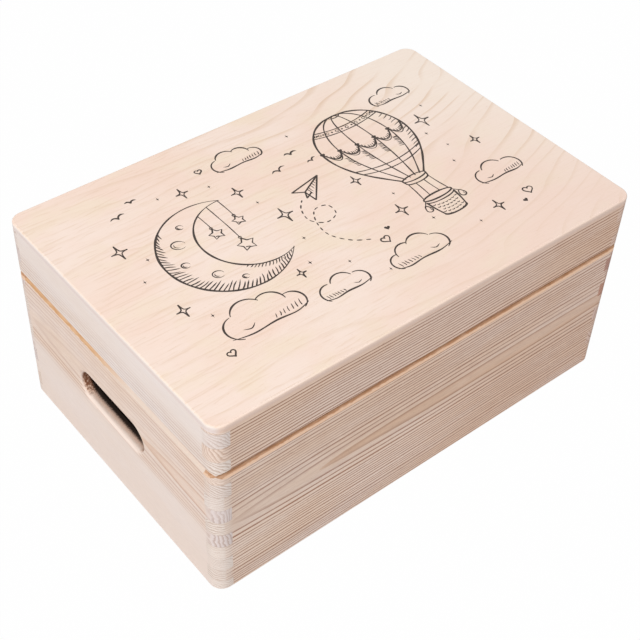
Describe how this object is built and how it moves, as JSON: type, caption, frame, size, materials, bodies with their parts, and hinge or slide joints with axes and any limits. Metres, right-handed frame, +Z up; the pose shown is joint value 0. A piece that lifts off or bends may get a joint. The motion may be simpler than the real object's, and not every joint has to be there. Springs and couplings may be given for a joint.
{
  "type": "keepsake box",
  "caption": "Rectangular pine box with a hinged plywood-topped lid, finger-jointed rounded corners, a V-groove seam and a hand slot in each end.",
  "frame": {"origin": "centre of the underside, on the surface the box stands on", "axes": "+X along the length, towards the end that the picture hides; +Y from the front to the hinges; +Z up"},
  "size_m": [0.3, 0.197, 0.135],
  "materials": {
    "pine": "sanded, unvarnished",
    "birch_plywood": "sanded, unvarnished",
    "hinge_brass": "satin plated",
    "pin_steel": "plain",
    "screw_brass": "satin plated"
  },
  "bodies": {
    "box_body": {"body_front_board": "pine", "body_back_board": "pine", "body_left_end": "pine", "body_right_end": "pine", "bottom_panel": "birch_plywood", "left_hinge_body_leaf": "hinge_brass", "right_hinge_body_leaf": "hinge_brass", "left_hinge_pin": "pin_steel", "right_hinge_pin": "pin_steel", "body_leaf_screws": "screw_brass"},
    "lid": {"lid_top_panel": "birch_plywood", "lid_front_board": "pine", "lid_back_board": "pine", "lid_left_end": "pine", "lid_right_end": "pine", "left_hinge_lid_leaf": "hinge_brass", "right_hinge_lid_leaf": "hinge_brass", "lid_leaf_screws": "screw_brass"}
  },
  "joints": [
    {"name": "lid_hinge", "type": "hinge", "parent": "box_body", "child": "lid", "pos_m": [0, 0.0961, 0.0975], "axis": [-1, 0, 0], "range_deg": [0, 95]}
  ]
}
